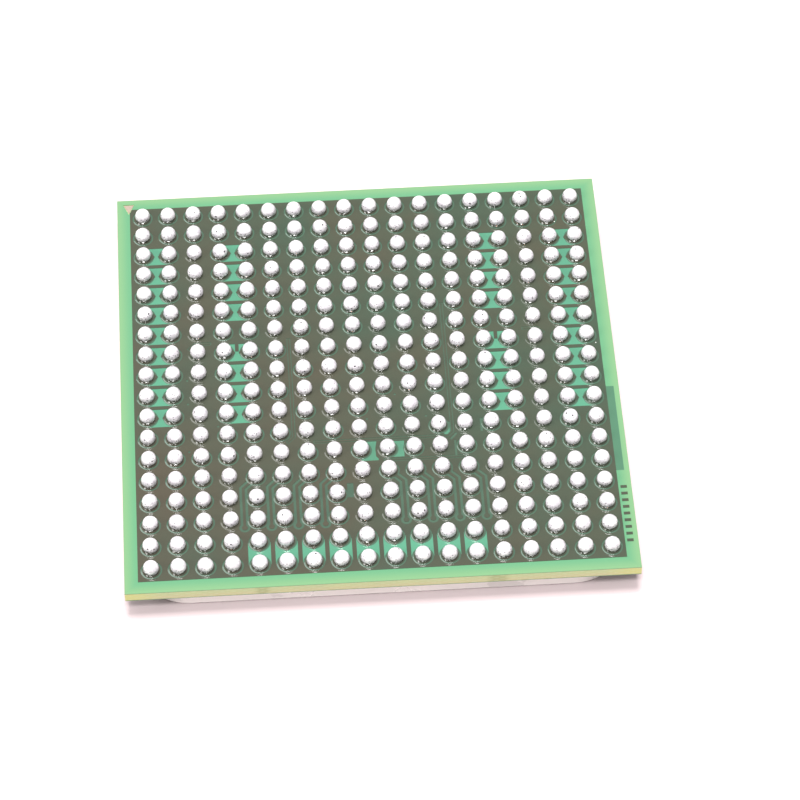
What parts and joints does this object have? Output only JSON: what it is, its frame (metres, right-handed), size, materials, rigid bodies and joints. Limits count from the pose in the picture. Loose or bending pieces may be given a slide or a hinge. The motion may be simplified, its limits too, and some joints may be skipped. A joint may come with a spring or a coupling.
{
  "type": "ball grid array chip package",
  "caption": "Square flip-chip package lying on its metal lid, with a full grid of solder balls standing up from a green masked laminate substrate.",
  "frame": {"origin": "middle of the lid's flat face, which the part lies on", "axes": "+Z from the lid to the balls, +X along the ball letters from row A, +Y towards ball number 1; the gold pin A1 mark is at -X, +Y"},
  "size_m": [0.019, 0.019, 0.0018],
  "materials": {
    "nickel": "satin nickel plate on copper",
    "seal_glue": "matt cured silicone",
    "grease": "matt paste",
    "silicon": "ground silicon",
    "solder": "reflowed tin-silver solder, lightly pitted",
    "underfill": "cured epoxy",
    "solder_mask": "glossy green solder mask, darker over copper",
    "copper": "etched copper under the mask",
    "laminate": "sawn glass-cloth laminate",
    "gold": "thin matt gold plate"
  },
  "bodies": {
    "root": {"lid": "nickel", "lid_seal": "seal_glue", "thermal_grease": "grease", "die": "silicon", "die_bumps": "solder", "underfill": "underfill", "lid_side_mask": "solder_mask", "lid_side_copper": "copper", "laminate_core": "laminate", "ground_plane": "copper", "signal_copper": "copper", "ball_side_mask": "solder_mask", "pin_a1_mark": "gold", "balls_row_a": "solder", "balls_row_b": "solder", "balls_row_c": "solder", "balls_row_d": "solder", "balls_row_e": "solder", "balls_row_f": "solder", "balls_row_g": "solder", "balls_row_h": "solder", "balls_row_j": "solder", "balls_row_k": "solder", "balls_row_l": "solder", "balls_row_m": "solder", "balls_row_n": "solder", "balls_row_p": "solder", "balls_row_r": "solder", "balls_row_t": "solder", "balls_row_u": "solder", "balls_row_v": "solder"}
  },
  "joints": []
}
